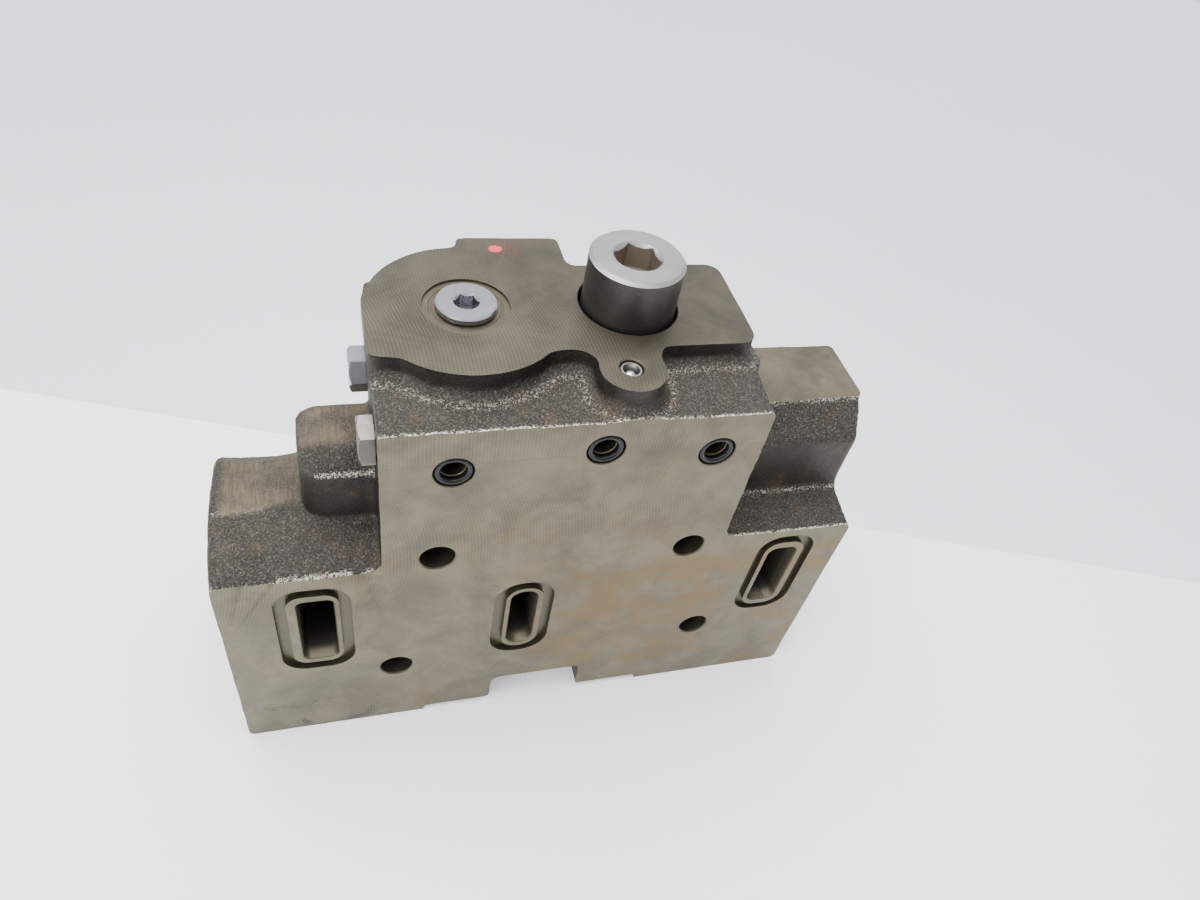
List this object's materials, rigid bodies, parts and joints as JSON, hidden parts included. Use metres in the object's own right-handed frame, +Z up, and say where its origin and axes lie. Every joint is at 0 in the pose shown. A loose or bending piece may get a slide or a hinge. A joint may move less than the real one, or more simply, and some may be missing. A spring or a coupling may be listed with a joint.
{
  "type": "hydraulic directional control valve section",
  "caption": "Cast iron hydraulic spool valve section with machined joint face, kidney galleries, relief cap, check valve plug and side screw plugs.",
  "frame": {"origin": "middle of the underside of the bounding box", "axes": "+X along the spool, +Y from the sealed front joint face towards the rear joint face, +Z up through the top pad"},
  "size_m": [0.26, 0.096, 0.2183],
  "materials": {
    "cast_iron": "oiled rough casting with milled joint faces",
    "ground_steel": "hardened and ground",
    "turned_steel": "turned, phosphated",
    "zinc_plated_steel": "bright zinc plated",
    "spring_steel": "oiled spring wire",
    "nitrile_rubber": "matt black",
    "ptfe": "matt off-white"
  },
  "bodies": {
    "valve_body": {"housing": "cast_iron", "left_end_plug": "turned_steel", "left_end_plug_oring": "nitrile_rubber", "left_spring_seat": "turned_steel", "left_centring_spring": "spring_steel", "right_end_plug": "turned_steel", "right_end_plug_oring": "nitrile_rubber", "right_spring_seat": "turned_steel", "right_centring_spring": "spring_steel", "relief_cap": "turned_steel", "relief_cap_oring": "nitrile_rubber", "relief_sleeve": "turned_steel", "relief_sleeve_oring": "nitrile_rubber", "relief_backup_ring": "ptfe", "relief_spring": "spring_steel", "check_plug": "zinc_plated_steel", "check_plug_oring": "nitrile_rubber", "check_spring": "spring_steel", "shuttle_plug": "zinc_plated_steel", "shuttle_plug_oring": "nitrile_rubber", "shuttle_seat": "turned_steel", "ls_plug": "zinc_plated_steel", "ls_plug_oring": "nitrile_rubber", "ls_spring": "spring_steel", "expander_sleeve": "turned_steel", "expander_ball": "ground_steel", "port_oring_left": "nitrile_rubber", "port_oring_middle": "nitrile_rubber", "port_oring_right": "nitrile_rubber"},
    "spool": {"main_spool": "ground_steel"},
    "relief_poppet": {"relief_poppet": "ground_steel"},
    "check_poppet": {"check_poppet": "ground_steel"},
    "shuttle_ball": {"shuttle_ball": "ground_steel"},
    "sensing_piston": {"ls_piston": "ground_steel"}
  },
  "joints": [
    {"name": "spool_slide", "type": "slide", "parent": "valve_body", "child": "spool", "axis": [1, 0, 0], "range_m": [-0.007, 0.007], "stiffness_N_per_m": 15000, "deforming": ["left_centring_spring", "right_centring_spring"]},
    {"name": "relief_poppet_lift", "type": "slide", "parent": "valve_body", "child": "relief_poppet", "axis": [0, 0, 1], "range_m": [0, 0.003], "stiffness_N_per_m": 20000, "springref_m": -0.004, "deforming": ["relief_spring"]},
    {"name": "check_poppet_lift", "type": "slide", "parent": "valve_body", "child": "check_poppet", "axis": [0, 0, 1], "range_m": [0, 0.004], "stiffness_N_per_m": 1500, "springref_m": -0.003, "deforming": ["check_spring"]},
    {"name": "shuttle_ball_slide", "type": "slide", "parent": "valve_body", "child": "shuttle_ball", "axis": [1, 0, 0], "range_m": [-0.001, 0.001]},
    {"name": "sensing_piston_slide", "type": "slide", "parent": "valve_body", "child": "sensing_piston", "axis": [1, 0, 0], "range_m": [-0.0025, 0], "stiffness_N_per_m": 2000, "springref_m": 0.002, "deforming": ["ls_spring"]}
  ]
}
